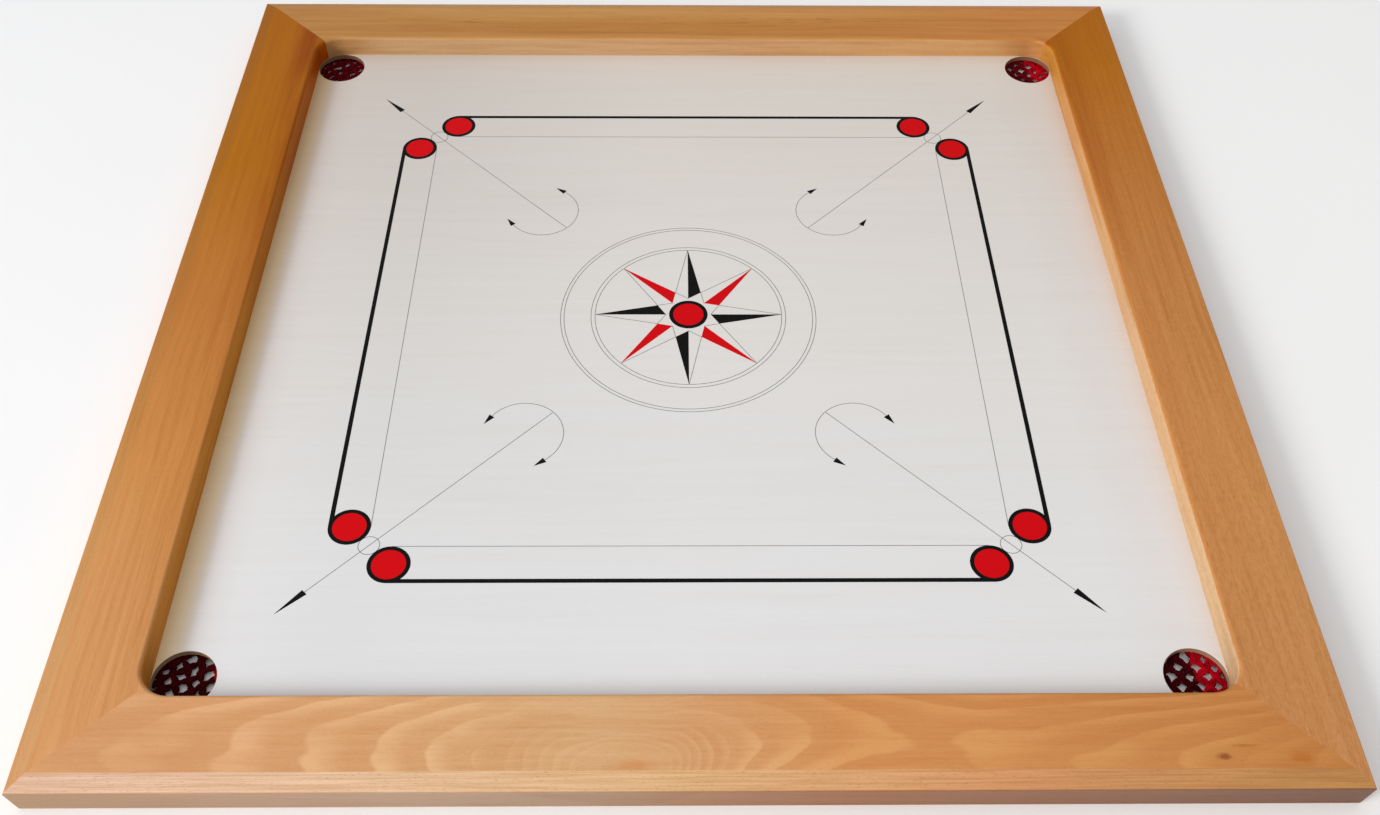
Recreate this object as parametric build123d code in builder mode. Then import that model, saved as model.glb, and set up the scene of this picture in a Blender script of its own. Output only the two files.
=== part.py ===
"""Carrom board: a mitred beech frame around a birch plywood playing panel with
four corner pockets, cord nets under the pockets and the printed playing marks.

Frame of the part: origin on the centre of the underside, +Z up, +Y towards the
back rail, +X to the right. All lengths are millimetres, all angles degrees.
"""

import os
from math import cos, radians, sin, sqrt

from build123d import *

# ------------------------------------------------------------ main dimensions
FIELD = 736.0            # clear width of the playing field, wall to wall
OUTER = 870.0            # width of the frame over its widest edge
SURFACE_Z = 10.0         # playing surface above the underside of the frame
WALL_H = 20.5            # height of the inner wall above the playing surface
PLY = 5.0                # thickness of the playing panel
POCKET_R = 22.25         # pocket hole, also the inner corner radius of the frame

INNER = FIELD / 2
WIDE = OUTER / 2
TOP_Z = SURFACE_Z + WALL_H        # highest line of the frame
PANEL_BOTTOM = SURFACE_Z - PLY
POCKET_C = INNER - POCKET_R       # pocket centre, tangent to both walls

# corner name: side of the board in X and Y
CORNERS = {
    "front_left": (-1, -1),
    "front_right": (1, -1),
    "back_right": (1, 1),
    "back_left": (-1, 1),
}
# rail name: turn from the front rail, counter-clockwise
RAILS = {"front": 0, "right": 90, "back": 180, "left": 270}

# rail section: distances outwards from the board centre, then heights
BLANK_FROM = 340.0       # inner side of the blank, cut away by the opening
MITRE_FROM = 345.0       # the mitre cuts start here, inside the opening
FLAT_END = INNER + 4.0   # level strip next to the inner edge ends here
SHOULDER = (422.5, TOP_Z - 1.0)   # where the outer chamfer starts
WIDEST = (WIDE, TOP_Z - 5.0)      # widest edge of the frame
FOOT = (WIDE - 1.7, 0.0)          # the outside leans in towards the underside
REBATE = 379.0           # outer wall of the rebate that takes the panel
WALL_ROUND = 3.0         # rounding of the inner top edge
SHOULDER_ROUND, WIDEST_ROUND, FOOT_ROUND = 2.0, 2.2, 1.2

# biscuits in the mitres
BISCUIT_L, BISCUIT_W, BISCUIT_T = 56.0, 23.0, 4.0
BISCUIT_C = 407.0        # biscuit centre measured on both axes
BISCUIT_Z = 14.0         # middle of the biscuit's thickness
BISCUIT_CHAMFER = 0.4
SLOT_EXTRA = 1.0         # slot longer and wider than the biscuit
GLUE_GAP = 0.1           # glue room above and below the biscuit

# playing panel
PANEL_HALF = REBATE - 0.4         # panel edge, with room for wood movement
MOUTH_ROUND = 0.5        # rounding of the pocket edges

# screws: shank radius, head radius, length
HOLE_ROOM, HEAD_ROOM = 0.05, 0.3  # radial room round shank and head
SINK_TAPER = 38.5        # side angle of the countersinks
SCREW_R, SCREW_HEAD_R, SCREW_L = 1.75, 3.5, 19.0
SCREW_OUT = 373.6        # panel screws run up into the rail wall here
SCREW_ALONG = (-300.0, -150.0, 0.0, 150.0, 300.0)
SCREW_PILOT = SCREW_L - PLY + 2.0          # blind hole in the rail
SCREW_SINK = 2.2

BATTEN_SCREW_R, BATTEN_HEAD_R, BATTEN_SCREW_L = 1.5, 3.0, 8.0
BATTEN_SCREW_X = (-345.0, -230.0, -115.0, 115.0, 230.0, 345.0)
BATTEN_SCREW_Y = (60.0, 155.0, 250.0, 345.0)
BATTEN_SCREW_OFF = 12.0  # screw rows either side of a batten's middle
BATTEN_SINK = 1.9

# battens: one long one along X and a short one on either side of it
BATTEN_W, BATTEN_T = 42.0, 4.0
BATTEN_HALF = 374.0
BATTEN_CHAMFER = 1.0
BATTEN_Z = PANEL_BOTTOM - BATTEN_T
BATTEN_PILOT = BATTEN_SCREW_L - BATTEN_T + 0.5   # blind hole in the panel
SHORT_FROM = BATTEN_W / 2 + 0.2
SHORT_LEN = BATTEN_HALF - SHORT_FROM

# nets
FIT = 0.02               # hairline gap between panel, net rim and tack head
NET_TOP = PANEL_BOTTOM - FIT
NET_RIM_R = 31.0         # outside of the net's sewn rim
NET_RIM_T = 1.2
NET_FLOOR_Z = 0.6        # lowest point of the net above the table
NET_FLOOR_T = 1.2

# net tacks, heights measured from the underside of the net rim
TACKS = 8
TACK_RING_R = 27.9       # circle of tacks round each pocket
TACK_HEAD_R = 2.9
TACK_EDGE, TACK_DOME = 0.25, 1.3  # depth of the head at its edge and its middle
TACK_SHANK_R, TACK_POINT_R = 0.8, 0.15
TACK_SHANK_L, TACK_L = 2.7, 4.4   # to the start and the end of the point
TACK_PILOT_R, TACK_PILOT = 0.85, 3.8
TACK_RIM_HOLE_R = 0.95
TACK_Z = NET_TOP - NET_RIM_T - FIT

# playing marks, all measured from the centre of the panel
INK = 0.12               # raised thickness of the printed and lacquered marks
THIN = 0.44              # width of the thin lines and rings
CIRCLE_R, DISC_R = 15.9, 12.7        # base circles
LINE_OUT, LINE_W = 268.5, 3.4        # heavy base line, outer edge and width
LINE_MID = LINE_OUT - LINE_W / 2
BASE_FAR = LINE_OUT - CIRCLE_R       # base circles touch the outer edge
BASE_NEAR = 219.2                    # base circle centres, other axis
INNER_LINE = BASE_FAR - CIRCLE_R     # thin base line, middle
SMALL_C, SMALL_R = 235.9, 7.9        # little circle in each base corner
ARROW_FROM, ARROW_NECK, ARROW_TIP = 108.5, 276.0, 294.5   # per axis, on the diagonal
ARROW_W = 5.2
ARROW_OVERLAP = 2.0                  # the diagonal line runs on under its head
ARC_C, ARC_R = 130.5, 31.75
ARC_OPEN = 80.5                      # half of the arc's gap, facing the board corner
ARC_CUT = 60.0                       # reach of the wedge that opens the arc
ARC_HEAD_L, ARC_HEAD_W = 9.9, 5.0
STAR_TIP, STAR_VALLEY, STAR_AXIS = 79.0, 28.2, 19.0       # radii
STAR_POINTS = 8
STAR_STEP = 360.0 / STAR_POINTS
STAR_LINE_W = 0.42
RINGS = (78.9, 82.3, 105.0, 107.9)   # middle radii of the thin centre rings
CENTRE_RING_R, CENTRE_DISC_R = 16.3, 12.85
# direction of each corner, seen from the board centre
DIAGONALS = {(1, 1): 45.0, (-1, 1): 135.0, (-1, -1): 225.0, (1, -1): 315.0}

os.makedirs("parts", exist_ok=True)


# -------------------------------------------------------------------- helpers
def finish(builder, name):
    """Label a finished piece and write its STEP."""
    builder.part.label = name
    export_step(builder.part, f"parts/{name}.step")


def polar(radius, angle):
    return (radius * cos(radians(angle)), radius * sin(radians(angle)))


def turned(x, y, turn):
    """The point turned counter-clockwise about the board centre."""
    cosine, sine = cos(radians(turn)), sin(radians(turn))
    return (x * cosine - y * sine, x * sine + y * cosine)


def polygon(*points):
    """Flat face with straight sides through the points."""
    with BuildSketch() as face:
        with BuildLine():
            Polyline(*points, close=True)
        make_face()
    return face.sketch


def lens(length, width):
    """Face of a biscuit: two arcs meeting at its tips."""
    with BuildSketch() as face:
        with BuildLine():
            top = ThreePointArc((-length / 2, 0), (0, width / 2), (length / 2, 0))
            ThreePointArc(top @ 1, (0, -width / 2), top @ 0)
        make_face()
    return face.sketch


def corner_plane(side_x, side_y, z):
    """Plane on a frame corner with its X along the mitre line."""
    return Plane(
        origin=(side_x * BISCUIT_C, side_y * BISCUIT_C, z),
        x_dir=(side_x, side_y, 0),
        z_dir=(0, 0, 1),
    )


def tack_ring(centre_x, centre_y):
    """Tack positions round one pocket, starting half a step off the X direction."""
    step = 360.0 / TACKS
    ring = [polar(TACK_RING_R, step / 2 + step * k) for k in range(TACKS)]
    return [(centre_x + x, centre_y + y) for x, y in ring]


def repeat(piece, points, z, name):
    """One file with a copy of the piece at every point."""
    with BuildPart() as copies:
        with Locations(*[(x, y, z) for x, y in points]):
            add(piece)
    finish(copies, name)


# ------------------------------------------------------------ shared positions
rail_screw_points = {
    turn: [turned(x, -SCREW_OUT, turn) for x in SCREW_ALONG] for turn in RAILS.values()
}
screw_points = [point for points in rail_screw_points.values() for point in points]
pocket_points = {
    corner: (side_x * POCKET_C, side_y * POCKET_C)
    for corner, (side_x, side_y) in CORNERS.items()
}
long_points = [(x, side * BATTEN_SCREW_OFF) for x in BATTEN_SCREW_X for side in (-1, 1)]
short_points = [
    (side_x * BATTEN_SCREW_OFF, side_y * y)
    for y in BATTEN_SCREW_Y
    for side_x in (-1, 1)
    for side_y in (-1, 1)
]
batten_points = long_points + short_points
tack_points = [point for centre in pocket_points.values() for point in tack_ring(*centre)]


# ----------------------------------------------------------------------- rails
def make_rail(turn):
    """One mitred rail, built in its final place."""
    # section plane: its X points outwards across the rail, its Y points up
    section = Plane(
        origin=(0, 0, 0),
        x_dir=(*turned(0, -1, turn), 0),
        z_dir=(*turned(-1, 0, turn), 0),
    )

    def outward(edge):
        return section.to_local_coords(edge.center()).X

    with BuildPart() as rail:
        with BuildSketch(section):
            with BuildLine():
                Polyline(
                    (BLANK_FROM, SURFACE_Z),
                    (BLANK_FROM, TOP_Z),
                    (FLAT_END, TOP_Z),
                    SHOULDER,
                    WIDEST,
                    FOOT,
                    (REBATE, 0.0),
                    (REBATE, SURFACE_Z),
                    close=True,
                )
            make_face()
        extrude(amount=WIDE + 5, both=True)
        # soften the worked edges of the section, before the mitres are cut
        long_edges = rail.edges().filter_by(lambda edge: edge.length > 2 * WIDE)
        for (distance, height), radius in (
            (SHOULDER, SHOULDER_ROUND),
            (WIDEST, WIDEST_ROUND),
            (FOOT, FOOT_ROUND),
        ):
            worked = [
                edge
                for edge in long_edges
                if abs(outward(edge) - distance) < 0.01
                and abs(edge.center().Z - height) < 0.01
            ]
            fillet(worked, radius=radius)
        # the opening of the frame, rounded about each pocket
        with BuildSketch(Plane.XY.offset(SURFACE_Z)):
            RectangleRounded(FIELD, FIELD, POCKET_R)
        extrude(amount=WALL_H + 1, mode=Mode.SUBTRACT)
        # mitres at both ends
        far, near = WIDE + 4, MITRE_FROM
        outline = ((-far, -far), (far, -far), (near, -near), (-near, -near))
        with BuildSketch(Plane.XY):
            with BuildLine():
                Polyline(*[turned(x, y, turn) for x, y in outline], close=True)
            make_face()
        extrude(amount=TOP_Z + 1, mode=Mode.INTERSECT)
        # rounded inner top edge, running on through the corner curve
        inner_edges = [
            edge
            for edge in rail.edges()
            if abs(edge.bounding_box().min.Z - TOP_Z) < 1e-3
            and abs(edge.bounding_box().max.Z - TOP_Z) < 1e-3
            and outward(edge) < INNER + 0.5
            and (edge.geom_type == GeomType.CIRCLE or edge.length > 500)
        ]
        fillet(inner_edges, radius=WALL_ROUND)
        # biscuit slots in both mitre faces; the far corners cut nothing
        slot_face = lens(BISCUIT_L + SLOT_EXTRA, BISCUIT_W + SLOT_EXTRA)
        for side_x, side_y in CORNERS.values():
            with BuildSketch(corner_plane(side_x, side_y, BISCUIT_Z - BISCUIT_T / 2 - GLUE_GAP)):
                add(slot_face)
            extrude(amount=BISCUIT_T + 2 * GLUE_GAP, mode=Mode.SUBTRACT)
        # pilot holes for the panel screws, up into the wall
        with BuildSketch(Plane.XY.offset(SURFACE_Z)):
            with Locations(*rail_screw_points[turn]):
                Circle(SCREW_R + HOLE_ROOM)
        extrude(amount=SCREW_PILOT, mode=Mode.SUBTRACT)
    return rail


for name, turn in RAILS.items():
    finish(make_rail(turn), f"rail_{name}")


# -------------------------------------------------------------------- biscuits
def make_biscuit(side_x, side_y):
    with BuildPart() as biscuit:
        with BuildSketch(corner_plane(side_x, side_y, BISCUIT_Z - BISCUIT_T / 2)):
            add(lens(BISCUIT_L, BISCUIT_W))
        extrude(amount=BISCUIT_T)
        # top face, then bottom face
        for index in (-1, 0):
            chamfer(biscuit.faces().sort_by(Axis.Z)[index].edges(), length=BISCUIT_CHAMFER)
    return biscuit


for corner, sides in CORNERS.items():
    finish(make_biscuit(*sides), f"mitre_biscuit_{corner}")


# --------------------------------------------------------------- playing panel
def make_panel():
    with BuildPart() as panel:
        with BuildSketch(Plane.XY.offset(PANEL_BOTTOM)):
            Rectangle(2 * PANEL_HALF, 2 * PANEL_HALF)
            with Locations(*pocket_points.values()):
                Circle(POCKET_R, mode=Mode.SUBTRACT)
        extrude(amount=PLY)
        # pocket edges are broken with fine paper
        mouths = [
            edge
            for edge in panel.edges().filter_by(GeomType.CIRCLE)
            if abs(edge.radius - POCKET_R) < 0.01
        ]
        fillet(mouths, radius=MOUTH_ROUND)
        # holes from below: panel screws right through and countersunk, then
        # blind pilot holes for the batten screws and the net tacks
        for points, radius, depth, taper in (
            (screw_points, SCREW_R + HOLE_ROOM, PLY, 0),
            (screw_points, SCREW_HEAD_R + HEAD_ROOM, SCREW_SINK, SINK_TAPER),
            (batten_points, BATTEN_SCREW_R + HOLE_ROOM, BATTEN_PILOT, 0),
            (tack_points, TACK_PILOT_R, TACK_PILOT, 0),
        ):
            with BuildSketch(Plane.XY.offset(PANEL_BOTTOM)):
                with Locations(*points):
                    Circle(radius)
            extrude(amount=depth, taper=taper, mode=Mode.SUBTRACT)
    return panel


finish(make_panel(), "playing_panel")


# --------------------------------------------------------------------- battens
def make_batten(centre_y, size_x, size_y, points):
    with BuildPart() as batten:
        with BuildSketch(Plane.XY.offset(BATTEN_Z)):
            with Locations((0, centre_y)):
                Rectangle(size_x, size_y)
        extrude(amount=BATTEN_T)
        chamfer(batten.faces().sort_by(Axis.Z)[0].edges(), length=BATTEN_CHAMFER)
        # clearance holes, countersunk from below
        for radius, depth, taper in (
            (BATTEN_SCREW_R + HOLE_ROOM, BATTEN_T, 0),
            (BATTEN_HEAD_R + HEAD_ROOM, BATTEN_SINK, SINK_TAPER),
        ):
            with BuildSketch(Plane.XY.offset(BATTEN_Z)):
                with Locations(*points):
                    Circle(radius)
            extrude(amount=depth, taper=taper, mode=Mode.SUBTRACT)
    return batten


finish(make_batten(0, 2 * BATTEN_HALF, BATTEN_W, long_points), "batten_long")
for name, side in (("front", -1), ("back", 1)):
    own_points = [(x, y) for x, y in short_points if y * side > 0]
    short_batten = make_batten(
        side * (SHORT_FROM + SHORT_LEN / 2), BATTEN_W, SHORT_LEN, own_points
    )
    finish(short_batten, f"batten_short_{name}")


# ---------------------------------------------------------------------- screws
def make_screw(shank_r, head_r, length, cross_l, cross_w, cross_depth):
    """Countersunk screw, point up, with the face of its head at z = 0."""
    rim = 0.15           # straight edge of the head
    point_l, point_r = 3.0, 0.15
    with BuildPart() as screw:
        with BuildSketch(Plane.XZ):
            add(polygon(
                (0, 0),
                (head_r, 0),
                (head_r, rim),
                (shank_r, rim + (head_r - shank_r) * 1.05),
                (shank_r, length - point_l),
                (point_r, length),
                (0, length),
            ))
        revolve(axis=Axis.Z)
        # cross recess for the driver
        with BuildSketch(Plane.XY):
            Rectangle(cross_l, cross_w)
            Rectangle(cross_w, cross_l)
        extrude(amount=cross_depth, taper=8, mode=Mode.SUBTRACT)
    return screw.part


panel_screw = make_screw(
    SCREW_R, SCREW_HEAD_R, SCREW_L, cross_l=3.6, cross_w=0.95, cross_depth=1.3
)
repeat(panel_screw, screw_points, PANEL_BOTTOM, "panel_screws")

batten_screw = make_screw(
    BATTEN_SCREW_R, BATTEN_HEAD_R, BATTEN_SCREW_L, cross_l=3.0, cross_w=0.8, cross_depth=1.1
)
repeat(batten_screw, batten_points, BATTEN_Z, "batten_screws")


# ------------------------------------------------------------------------ nets
def make_net(centre_x, centre_y):
    """A shallow bag with a flat rim, kept just clear of the table."""
    # half section: radius, height
    profile = (
        (0, NET_FLOOR_Z),
        (23.0, NET_FLOOR_Z),
        (24.4, 1.6),
        (24.8, NET_TOP - NET_RIM_T),
        (NET_RIM_R, NET_TOP - NET_RIM_T),
        (NET_RIM_R, NET_TOP),
        (23.4, NET_TOP),
        (23.2, 2.4),
        (22.4, NET_FLOOR_Z + NET_FLOOR_T),
        (0, NET_FLOOR_Z + NET_FLOOR_T),
    )
    centre = (centre_x, centre_y, 0)
    with BuildPart() as net:
        with BuildSketch(Plane(origin=centre, x_dir=(1, 0, 0), z_dir=(0, -1, 0))):
            with BuildLine():
                Polyline(*profile, close=True)
            make_face()
        revolve(axis=Axis(origin=centre, direction=(0, 0, 1)))
        # tack holes through the rim
        with BuildSketch(Plane.XY.offset(NET_TOP - NET_RIM_T - 1)):
            with Locations(*tack_ring(centre_x, centre_y)):
                Circle(TACK_RIM_HOLE_R)
        extrude(amount=NET_RIM_T + 2, mode=Mode.SUBTRACT)
    return net


for corner, centre in pocket_points.items():
    finish(make_net(*centre), f"pocket_net_{corner}")


# ------------------------------------------------------------------- net tacks
def make_tack():
    """Domed upholstery tack that holds a net rim up against the panel."""
    rise = TACK_DOME - TACK_EDGE
    dome_r = (TACK_HEAD_R**2 + rise**2) / (2 * rise)   # centred on the tack's axis
    mid_r = 1.65         # radius of a point part way along the dome
    mid_z = dome_r - TACK_DOME - sqrt(dome_r**2 - mid_r**2)
    with BuildPart() as tack:
        with BuildSketch(Plane.XZ):
            with BuildLine():
                ThreePointArc((0, -TACK_DOME), (mid_r, mid_z), (TACK_HEAD_R, -TACK_EDGE))
                Polyline(
                    (TACK_HEAD_R, -TACK_EDGE),
                    (TACK_HEAD_R, 0),
                    (TACK_SHANK_R, 0),
                    (TACK_SHANK_R, TACK_SHANK_L),
                    (TACK_POINT_R, TACK_L),
                    (0, TACK_L),
                    (0, -TACK_DOME),
                )
            make_face()
        revolve(axis=Axis.Z)
    return tack.part


repeat(make_tack(), tack_points, TACK_Z, "net_tacks")

# --------------------------------------------------------------- playing marks
base_points = []
for side_x, side_y in CORNERS.values():
    base_points += [
        (side_x * BASE_NEAR, side_y * BASE_FAR),
        (side_x * BASE_FAR, side_y * BASE_NEAR),
    ]


def diagonal_head(side_x, side_y):
    """Arrowhead at the outer end of a diagonal."""
    half = ARROW_W / 2 / sqrt(2)
    return polygon(
        (side_x * ARROW_TIP, side_y * ARROW_TIP),
        (side_x * (ARROW_NECK + half), side_y * (ARROW_NECK - half)),
        (side_x * (ARROW_NECK - half), side_y * (ARROW_NECK + half)),
    )


def arc_head(side_x, side_y, end):
    """Arrowhead on one end (-1 or 1) of a corner arc, pointing into its gap."""
    angle = DIAGONALS[(side_x, side_y)] + end * ARC_OPEN
    foot_x, foot_y = polar(ARC_R, angle)
    foot_x += side_x * ARC_C
    foot_y += side_y * ARC_C
    along_x, along_y = polar(ARC_HEAD_L, angle - end * 90.0)
    across_x, across_y = polar(ARC_HEAD_W / 2, angle)
    return polygon(
        (foot_x + along_x, foot_y + along_y),
        (foot_x + across_x, foot_y + across_y),
        (foot_x - across_x, foot_y - across_y),
    )


def star_half(angle):
    """Filled half of one star point, on its clockwise side."""
    return polygon(
        polar(STAR_TIP, angle),
        polar(STAR_VALLEY, angle - STAR_STEP / 2),
        polar(STAR_AXIS, angle),
    )


def stroke(start, end, width):
    """A thin ruled line between two points."""
    (x0, y0), (x1, y1) = start, end
    length = sqrt((x1 - x0) ** 2 + (y1 - y0) ** 2)
    off_x = -(y1 - y0) / length * width / 2
    off_y = (x1 - x0) / length * width / 2
    return polygon(
        (x0 + off_x, y0 + off_y),
        (x1 + off_x, y1 + off_y),
        (x1 - off_x, y1 - off_y),
        (x0 - off_x, y0 - off_y),
    )


def thin_ring(centre_x, centre_y, radius, gap_mid=None):
    """A thin circle; with gap_mid it stays open towards that angle."""
    with BuildSketch() as ring:
        with Locations((centre_x, centre_y)):
            Circle(radius + THIN / 2)
            Circle(radius - THIN / 2, mode=Mode.SUBTRACT)
        if gap_mid is not None:
            wedge = (
                (0, 0),
                polar(ARC_CUT, gap_mid - ARC_OPEN),
                polar(ARC_CUT / cos(radians(ARC_OPEN)), gap_mid),
                polar(ARC_CUT, gap_mid + ARC_OPEN),
            )
            with BuildLine():
                Polyline(*[(centre_x + x, centre_y + y) for x, y in wedge], close=True)
            make_face(mode=Mode.SUBTRACT)
    return ring.sketch


def draw_black():
    with BuildSketch() as ink:
        # heavy base lines
        with Locations((0, LINE_MID), (0, -LINE_MID)):
            Rectangle(2 * BASE_NEAR, LINE_W)
        with Locations((LINE_MID, 0), (-LINE_MID, 0)):
            Rectangle(LINE_W, 2 * BASE_NEAR)
        # base circle rings and the centre ring
        with Locations(*base_points):
            Circle(CIRCLE_R)
        with Locations(*base_points):
            Circle(DISC_R, mode=Mode.SUBTRACT)
        Circle(CENTRE_RING_R)
        Circle(CENTRE_DISC_R, mode=Mode.SUBTRACT)
        # arrowheads on the diagonals and on the corner arcs
        for side_x, side_y in CORNERS.values():
            add(diagonal_head(side_x, side_y))
            for end in (-1, 1):
                add(arc_head(side_x, side_y, end))
        # star points towards the four sides
        for angle in RAILS.values():
            add(star_half(angle))
    return ink.sketch


def draw_red():
    with BuildSketch() as ink:
        with Locations(*base_points):
            Circle(DISC_R)
        Circle(CENTRE_DISC_R)
        # star points towards the four corners
        for angle in DIAGONALS.values():
            add(star_half(angle))
    return ink.sketch


def draw_grey(black, red):
    """Thin lines, left out wherever black or red is printed."""
    with BuildSketch() as ink:
        # thin rings round the star
        for radius in RINGS:
            add(thin_ring(0, 0, radius))
        # outline of the open half of every star point
        for k in range(STAR_POINTS):
            angle = STAR_STEP * k
            valley = polar(STAR_VALLEY, angle + STAR_STEP / 2)
            add(stroke(polar(STAR_TIP, angle), valley, STAR_LINE_W))
            add(stroke(valley, polar(STAR_AXIS, angle), STAR_LINE_W))
        # diagonal, arc round its inner end and the little circle in the base corner
        line_end = ARROW_NECK + ARROW_OVERLAP
        for (side_x, side_y), angle in DIAGONALS.items():
            add(stroke(
                (side_x * ARROW_FROM, side_y * ARROW_FROM),
                (side_x * line_end, side_y * line_end),
                THIN,
            ))
            add(thin_ring(side_x * ARC_C, side_y * ARC_C, ARC_R, angle))
            add(thin_ring(side_x * SMALL_C, side_y * SMALL_C, SMALL_R))
        # thin base lines, stopped at the base circles
        with Locations((0, INNER_LINE), (0, -INNER_LINE)):
            Rectangle(2 * BASE_NEAR, THIN)
        with Locations((INNER_LINE, 0), (-INNER_LINE, 0)):
            Rectangle(THIN, 2 * BASE_NEAR)
        add(black, mode=Mode.SUBTRACT)
        add(red, mode=Mode.SUBTRACT)
    return ink.sketch


black_ink = draw_black()
red_ink = draw_red()
grey_ink = draw_grey(black_ink, red_ink)

for name, ink in (("black", black_ink), ("red", red_ink), ("grey", grey_ink)):
    with BuildPart() as marks:
        with BuildSketch(Plane.XY.offset(SURFACE_Z)):
            add(ink)
        extrude(amount=INK)
    finish(marks, f"marks_{name}")
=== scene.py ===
import math
import random

import bpy
from mathutils import Matrix, Vector, noise


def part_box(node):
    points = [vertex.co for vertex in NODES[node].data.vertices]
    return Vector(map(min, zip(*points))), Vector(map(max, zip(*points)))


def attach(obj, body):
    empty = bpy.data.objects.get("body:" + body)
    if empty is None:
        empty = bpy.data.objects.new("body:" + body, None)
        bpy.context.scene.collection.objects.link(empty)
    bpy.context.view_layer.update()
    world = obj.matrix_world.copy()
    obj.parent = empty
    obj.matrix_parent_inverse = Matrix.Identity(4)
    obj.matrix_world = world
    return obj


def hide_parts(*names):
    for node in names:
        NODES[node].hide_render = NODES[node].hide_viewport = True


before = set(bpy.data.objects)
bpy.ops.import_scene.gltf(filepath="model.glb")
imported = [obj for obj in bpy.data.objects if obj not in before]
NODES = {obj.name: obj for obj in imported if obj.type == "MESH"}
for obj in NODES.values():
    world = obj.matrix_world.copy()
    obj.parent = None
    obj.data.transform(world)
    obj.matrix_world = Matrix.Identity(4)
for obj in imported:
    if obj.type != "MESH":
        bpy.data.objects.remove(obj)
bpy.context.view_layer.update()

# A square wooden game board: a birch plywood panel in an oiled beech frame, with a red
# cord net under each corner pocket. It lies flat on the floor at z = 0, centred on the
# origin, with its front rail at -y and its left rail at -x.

SCENE = bpy.context.scene
MM = 0.001
TOP_MM = 30.5        # highest line of the frame
SURFACE_MM = 10.0    # playing surface
PLY_MM = 5           # panel thickness
VENEER_MM = 1.0      # one veneer of the panel
POCKET_MM = 345.75   # pocket centre from the middle of the board, in x and in y


# =============================================================== node helpers
class Value:
    """A shader socket. Each operation on it adds one node."""

    def __init__(self, tree, socket):
        self.tree = tree
        self.socket = socket

    def __add__(self, other):
        return self.tree.math("ADD", self, other)

    def __radd__(self, other):
        return self.tree.math("ADD", other, self)

    def __sub__(self, other):
        return self.tree.math("SUBTRACT", self, other)

    def __rsub__(self, other):
        return self.tree.math("SUBTRACT", other, self)

    def __mul__(self, other):
        return self.tree.math("MULTIPLY", self, other)

    def __truediv__(self, other):
        return self.tree.math("DIVIDE", self, other)

    def math(self, operation, *others):
        return self.tree.math(operation, self, *others)

    def abs(self):
        return self.math("ABSOLUTE")

    def floor(self):
        return self.math("FLOOR")

    def fract(self):
        return self.math("FRACT")

    def sqrt(self):
        return self.math("SQRT")

    def mul_add(self, factor, addend):
        return self.math("MULTIPLY_ADD", factor, addend)

    def push(self, base, by):
        """base moved up and down by this noise, which averages one half."""
        return (self - 0.5).mul_add(by, base)

    def split(self):
        node = self.tree.nodes.new("ShaderNodeSeparateXYZ")
        self.tree.put(node.inputs[0], self)
        return [Value(self.tree, socket) for socket in node.outputs]

    def scaled(self, *rates):
        """The vector times three rates, or times one rate on all three axes."""
        rates = rates if len(rates) == 3 else rates * 3
        return self.tree.make("VectorMath", {0: self, 1: rates}, operation="MULTIPLY")

    def noise(self, detail=2.0, rough=0.5):
        inputs = {"Vector": self, "Scale": 1.0, "Detail": detail, "Roughness": rough,
                  "Distortion": 0.0}
        return self.tree.make("TexNoise", inputs, "Fac")

    def fade(self, start, end, low=0.0, high=1.0, kind="LINEAR"):
        """low where this value is at start, high where it is at end, clamped."""
        inputs = dict(enumerate((self, start, end, low, high)))
        return self.tree.make("MapRange", inputs, clamp=True, interpolation_type=kind)

    def ease(self, start, end, low=0.0, high=1.0):
        """fade with soft ends."""
        return self.fade(start, end, low, high, "SMOOTHSTEP")

    def ramp(self, stops):
        """A colour ramp through [(position, colour), ...]."""
        node = self.tree.nodes.new("ShaderNodeValToRGB")
        elements = node.color_ramp.elements
        while len(elements) > 1:
            elements.remove(elements[-1])
        elements[0].position = stops[0][0]
        elements[0].color = (*stops[0][1], 1.0)
        for position, colour in stops[1:]:
            elements.new(position).color = (*colour, 1.0)
        self.tree.put(node.inputs[0], self)
        return Value(self.tree, node.outputs[0])

    def along(self, stops):
        """A colour that changes with this position in mm: [(mm, colour), ...]."""
        low, high = stops[0][0], stops[-1][0]
        return self.fade(low, high).ramp(
            [((place - low) / (high - low), colour) for place, colour in stops])

    def curve(self, points):
        """Smooth curve through (input, output) points."""
        start, end = points[0][0], points[-1][0]
        top = max(result for _, result in points)
        low = min(result for _, result in points)
        node = self.tree.nodes.new("ShaderNodeFloatCurve")
        curve = node.mapping.curves[0]
        rows = [((place - start) / (end - start), (result - low) / (top - low))
                for place, result in points]
        curve.points[0].location = rows[0]
        curve.points[1].location = rows[-1]
        for row in rows[1:-1]:
            curve.points.new(*row)
        for point in curve.points:
            point.handle_type = "AUTO_CLAMPED"
        node.mapping.update()
        place = self.tree.math("DIVIDE", self - start, end - start, clamp=True)
        self.tree.put(node.inputs["Value"], place)
        return Value(self.tree, node.outputs[0]).mul_add(top - low, low)


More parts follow.
